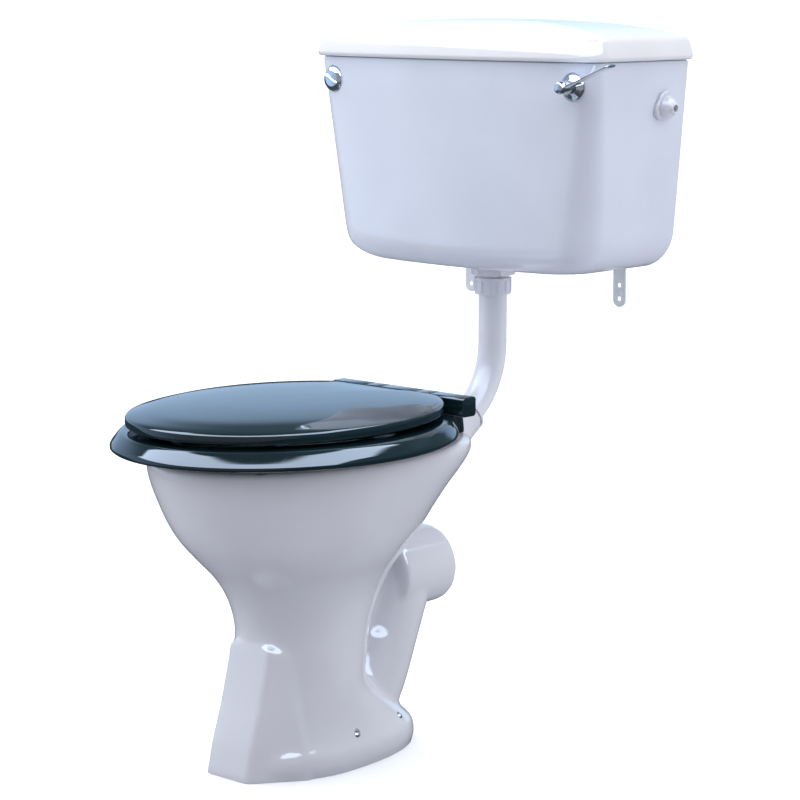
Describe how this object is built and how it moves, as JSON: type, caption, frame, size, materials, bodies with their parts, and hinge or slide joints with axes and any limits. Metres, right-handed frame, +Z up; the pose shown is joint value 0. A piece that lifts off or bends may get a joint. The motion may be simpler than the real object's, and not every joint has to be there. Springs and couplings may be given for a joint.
{
  "type": "low-level toilet suite",
  "caption": "Wash-down pan with a black hinged seat and cover, fed by a bent flush pipe from a ceramic cistern with lift-off lid, side lever, siphon and float valve.",
  "frame": {"origin": "on the floor, at the middle of the whole suite's plan", "axes": "+Z up, the pan's front faces -Y and the wall is at +Y, +X is the flush lever's side"},
  "size_m": [0.5676, 0.7265, 0.913],
  "materials": {
    "pan_glaze": "gloss",
    "cistern_glaze": "gloss",
    "lid_glaze": "gloss",
    "pipe_plastic": "satin",
    "inner_plastic": "satin",
    "seat_plastic": "gloss",
    "chrome": "polished",
    "brass": "satin",
    "float_plastic": "satin",
    "steel": "brushed",
    "bracket_metal": "satin",
    "rubber": "matte"
  },
  "bodies": {
    "root": {"blanking_cap": "chrome", "blanking_cap_nut": "inner_plastic", "cistern_body": "cistern_glaze", "float_pin": "brass", "floor_screw_front_left": "steel", "floor_screw_front_right": "steel", "floor_screw_rear_left": "steel", "floor_screw_rear_right": "steel", "flush_cone": "pipe_plastic", "flush_pipe": "pipe_plastic", "flush_pipe_nut": "pipe_plastic", "flush_pipe_seal": "rubber", "hinge_block_left": "seat_plastic", "hinge_block_right": "seat_plastic", "hinge_bolt_left": "steel", "hinge_bolt_right": "steel", "hinge_nut_left": "inner_plastic", "hinge_nut_right": "inner_plastic", "hinge_rod": "steel", "hinge_washer_left": "rubber", "hinge_washer_right": "rubber", "lever_bush": "inner_plastic", "lever_escutcheon": "chrome", "lever_lock_nut": "inner_plastic", "overflow_connector": "pipe_plastic", "overflow_nut": "inner_plastic", "overflow_washer": "rubber", "pan": "pan_glaze", "siphon_back_nut": "pipe_plastic", "siphon_body": "inner_plastic", "siphon_washer": "rubber", "valve_back_nut": "inner_plastic", "valve_body": "brass", "valve_washer": "rubber", "wall_bracket_left": "bracket_metal", "wall_bracket_right": "bracket_metal"},
    "ring": {"seat_ring": "seat_plastic", "ring_buffer_front_left": "rubber", "ring_buffer_front_right": "rubber", "ring_buffer_rear_left": "rubber", "ring_buffer_rear_right": "rubber"},
    "cover": {"seat_cover": "seat_plastic", "cover_buffer_left": "rubber", "cover_buffer_right": "rubber"},
    "lever": {"lever_handle": "chrome", "lever_spindle": "brass", "lever_arm": "brass"},
    "plunger": {"siphon_plunger": "inner_plastic", "siphon_flap": "rubber"},
    "float": {"float_arm": "brass", "float_ball": "float_plastic"},
    "piston": {"valve_piston": "brass"},
    "lid": {"cistern_lid": "lid_glaze"}
  },
  "joints": [
    {"name": "ring_hinge", "type": "hinge", "parent": "root", "child": "ring", "pos_m": [0, 0.0785, 0.4335], "axis": [-1, 0, 0], "range_deg": [0, 95]},
    {"name": "cover_hinge", "type": "hinge", "parent": "ring", "child": "cover", "pos_m": [0, 0.0785, 0.4335], "axis": [1, 0, 0], "range_deg": [-95, 0]},
    {"name": "flush_lever", "type": "hinge", "parent": "root", "child": "lever", "pos_m": [0.205, 0.1681, 0.832], "axis": [0, 1, 0], "range_deg": [0, 26], "stiffness_Nm_per_rad": 0.3},
    {"name": "plunger_lift", "type": "slide", "parent": "root", "child": "plunger", "axis": [0, 0, 1], "range_m": [0, 0.055]},
    {"name": "float_arm_swing", "type": "hinge", "parent": "root", "child": "float", "pos_m": [-0.148, 0.3135, 0.786], "axis": [0, -1, 0], "range_deg": [0, 30]},
    {"name": "valve_piston_slide", "type": "slide", "parent": "root", "child": "piston", "axis": [-1, 0, 0], "range_m": [0, 0.012]},
    {"name": "lid_lift", "type": "slide", "parent": "root", "child": "lid", "axis": [0, 0, 1], "range_m": [0, 0.12]}
  ],
  "couplings": [
    {"joint": "plunger_lift", "follows": "flush_lever", "m_per_rad": 0.113},
    {"joint": "valve_piston_slide", "follows": "float_arm_swing", "m_per_rad": 0.019}
  ]
}
